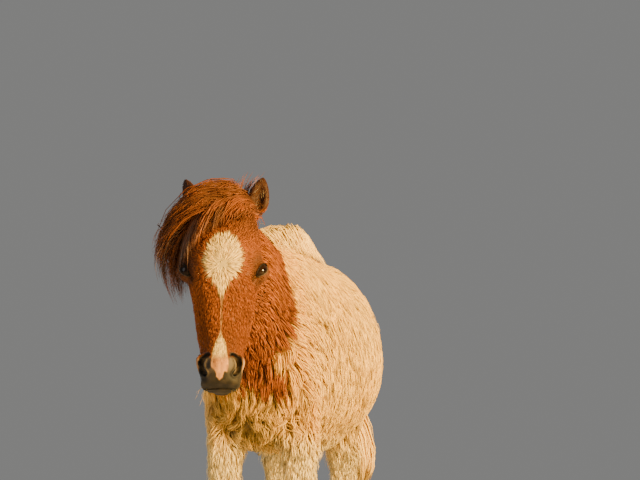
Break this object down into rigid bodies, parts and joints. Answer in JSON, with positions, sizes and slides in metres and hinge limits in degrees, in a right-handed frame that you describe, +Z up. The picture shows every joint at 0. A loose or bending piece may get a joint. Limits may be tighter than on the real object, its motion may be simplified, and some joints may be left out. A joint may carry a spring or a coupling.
{
  "type": "shetland pony",
  "caption": "Life-size standing model of a shaggy skewbald Shetland yearling, head lowered and turned a little.",
  "frame": {"origin": "on the floor, at the middle of the pony's outline from above", "axes": "+Z up, -Y the way the pony faces, +X its own left side"},
  "size_m": [0.3998, 1.095, 0.8954],
  "materials": {
    "trunk_coat": "long shaggy cream winter coat",
    "neck_coat": "shaggy coat, chestnut above and cream below",
    "head_coat": "short plush chestnut coat with a white star and snip",
    "ear_coat": "short dark chestnut coat with a dark rim",
    "leg_coat": "fluffy cream coat with feather",
    "forelock_hair": "long glossy chestnut hair",
    "mane_hair": "long hair, chestnut in front and cream at the withers",
    "tail_hair": "long cream hair",
    "hoof_horn": "dull dark horn",
    "eye": "wet dark brown eye"
  },
  "bodies": {
    "root": {"trunk": "trunk_coat", "neck": "neck_coat", "head": "head_coat", "ear_left": "ear_coat", "ear_right": "ear_coat", "eye_left": "eye", "eye_right": "eye", "forelock": "forelock_hair", "mane": "mane_hair", "tail": "tail_hair", "leg_fore_left": "leg_coat", "leg_fore_right": "leg_coat", "leg_hind_left": "leg_coat", "leg_hind_right": "leg_coat", "hoof_fore_left": "hoof_horn", "hoof_fore_right": "hoof_horn", "hoof_hind_left": "hoof_horn", "hoof_hind_right": "hoof_horn"}
  },
  "joints": []
}
